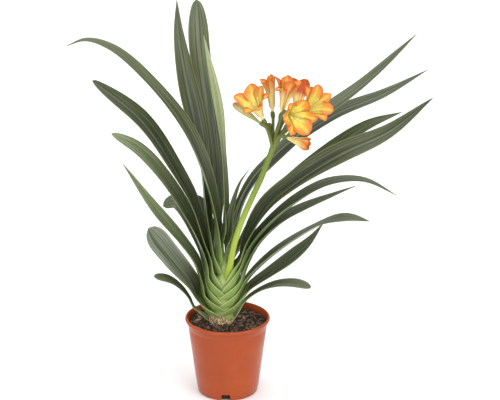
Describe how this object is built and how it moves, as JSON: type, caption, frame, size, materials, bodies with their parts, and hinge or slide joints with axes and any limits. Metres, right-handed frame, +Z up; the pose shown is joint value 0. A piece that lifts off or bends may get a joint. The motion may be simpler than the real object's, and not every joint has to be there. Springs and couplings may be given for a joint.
{
  "type": "clivia in a pot",
  "caption": "Flowering clivia with arching strap leaves in two ranks and an umbel of orange trumpet flowers, standing in a round terracotta-coloured plastic nursery pot.",
  "frame": {"origin": "middle of the pot's flat underside", "axes": "+Z up along the pot's axis, X along the fan of leaves, -Y towards the plant's front, where the flower stalk leans"},
  "size_m": [0.5309, 0.1989, 0.6141],
  "materials": {
    "pot": "moulded terracotta-coloured polypropylene, soft sheen",
    "soil": "dark moist peat with coarse crumbs",
    "stalk": "smooth pale green plant tissue",
    "leaf": "leathery dark green strap leaf, satin",
    "petal": "soft orange petal, yellow in the throat",
    "bud": "soft green and orange bud",
    "stamen": "pale yellow filaments and anthers",
    "dry_leaf": "dry papery tan leaf remnant"
  },
  "bodies": {
    "root": {"pot": "pot", "soil": "soil", "flower_stalk": "stalk", "dry_leaf_base": "dry_leaf", "leaf_left_01": "leaf", "leaf_left_02": "leaf", "leaf_left_03": "leaf", "leaf_left_04": "leaf", "leaf_left_05": "leaf", "leaf_left_06": "leaf", "leaf_left_07": "leaf", "leaf_left_08": "leaf", "leaf_left_09": "leaf", "leaf_left_10": "leaf", "leaf_left_11": "leaf", "leaf_right_01": "leaf", "leaf_right_02": "leaf", "leaf_right_03": "leaf", "leaf_right_04": "leaf", "leaf_right_05": "leaf", "leaf_right_06": "leaf", "leaf_right_07": "leaf", "leaf_right_08": "leaf", "leaf_right_09": "leaf", "leaf_right_10": "leaf", "flower_1": "petal", "flower_2": "petal", "flower_3": "petal", "flower_4": "petal", "flower_5": "petal", "flower_6": "petal", "stamens_1": "stamen", "stamens_2": "stamen", "stamens_3": "stamen", "stamens_4": "stamen", "stamens_5": "stamen", "stamens_6": "stamen", "bud_half_open": "bud", "bud_closed": "bud"}
  },
  "joints": []
}
